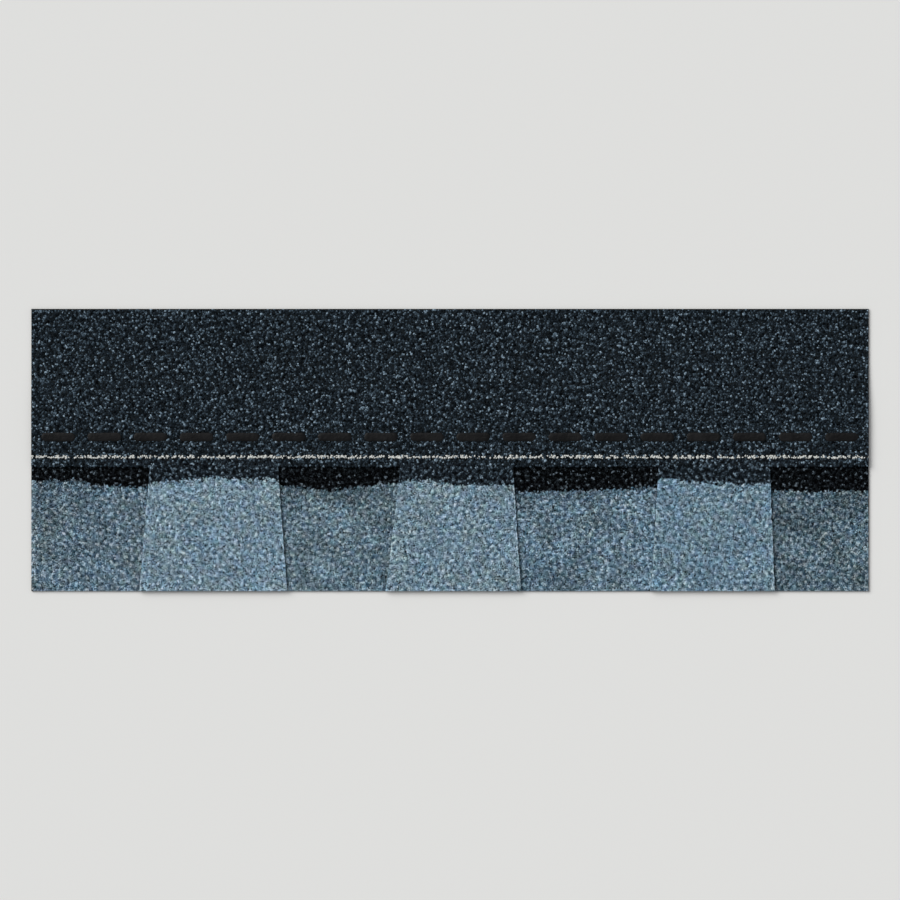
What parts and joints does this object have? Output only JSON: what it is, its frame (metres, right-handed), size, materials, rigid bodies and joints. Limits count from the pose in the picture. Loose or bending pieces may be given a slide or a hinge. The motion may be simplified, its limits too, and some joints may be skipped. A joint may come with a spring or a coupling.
{
  "type": "laminated asphalt roof shingle",
  "caption": "Blue-grey laminated asphalt roof shingle: a granule-coated sheet with flared teeth over a darker backing strip, lying face up.",
  "frame": {"origin": "floor level under the middle of the shingle", "axes": "+X along the course, to the right when seen from above with the butt edge nearest; +Y up the roof, from the butt edge to the top edge; +Z out of the weather side"},
  "size_m": [1, 0.337, 0.0064],
  "materials": {
    "tooth_granules": "light blue-grey ceramic-coated mineral granules pressed into asphalt, matte",
    "shadow_granules": "darker blue-grey mineral granules pressed into asphalt, matte",
    "laminating_asphalt": "black modified asphalt, satin",
    "sealant_asphalt": "black soft asphalt, glossy",
    "release_film": "clear polyester film, glossy"
  },
  "bodies": {
    "root": {"overlay_sheet": "tooth_granules", "backer_sheet": "shadow_granules", "laminating_adhesive": "laminating_asphalt", "sealant_strip": "sealant_asphalt", "release_film": "release_film"}
  },
  "joints": []
}
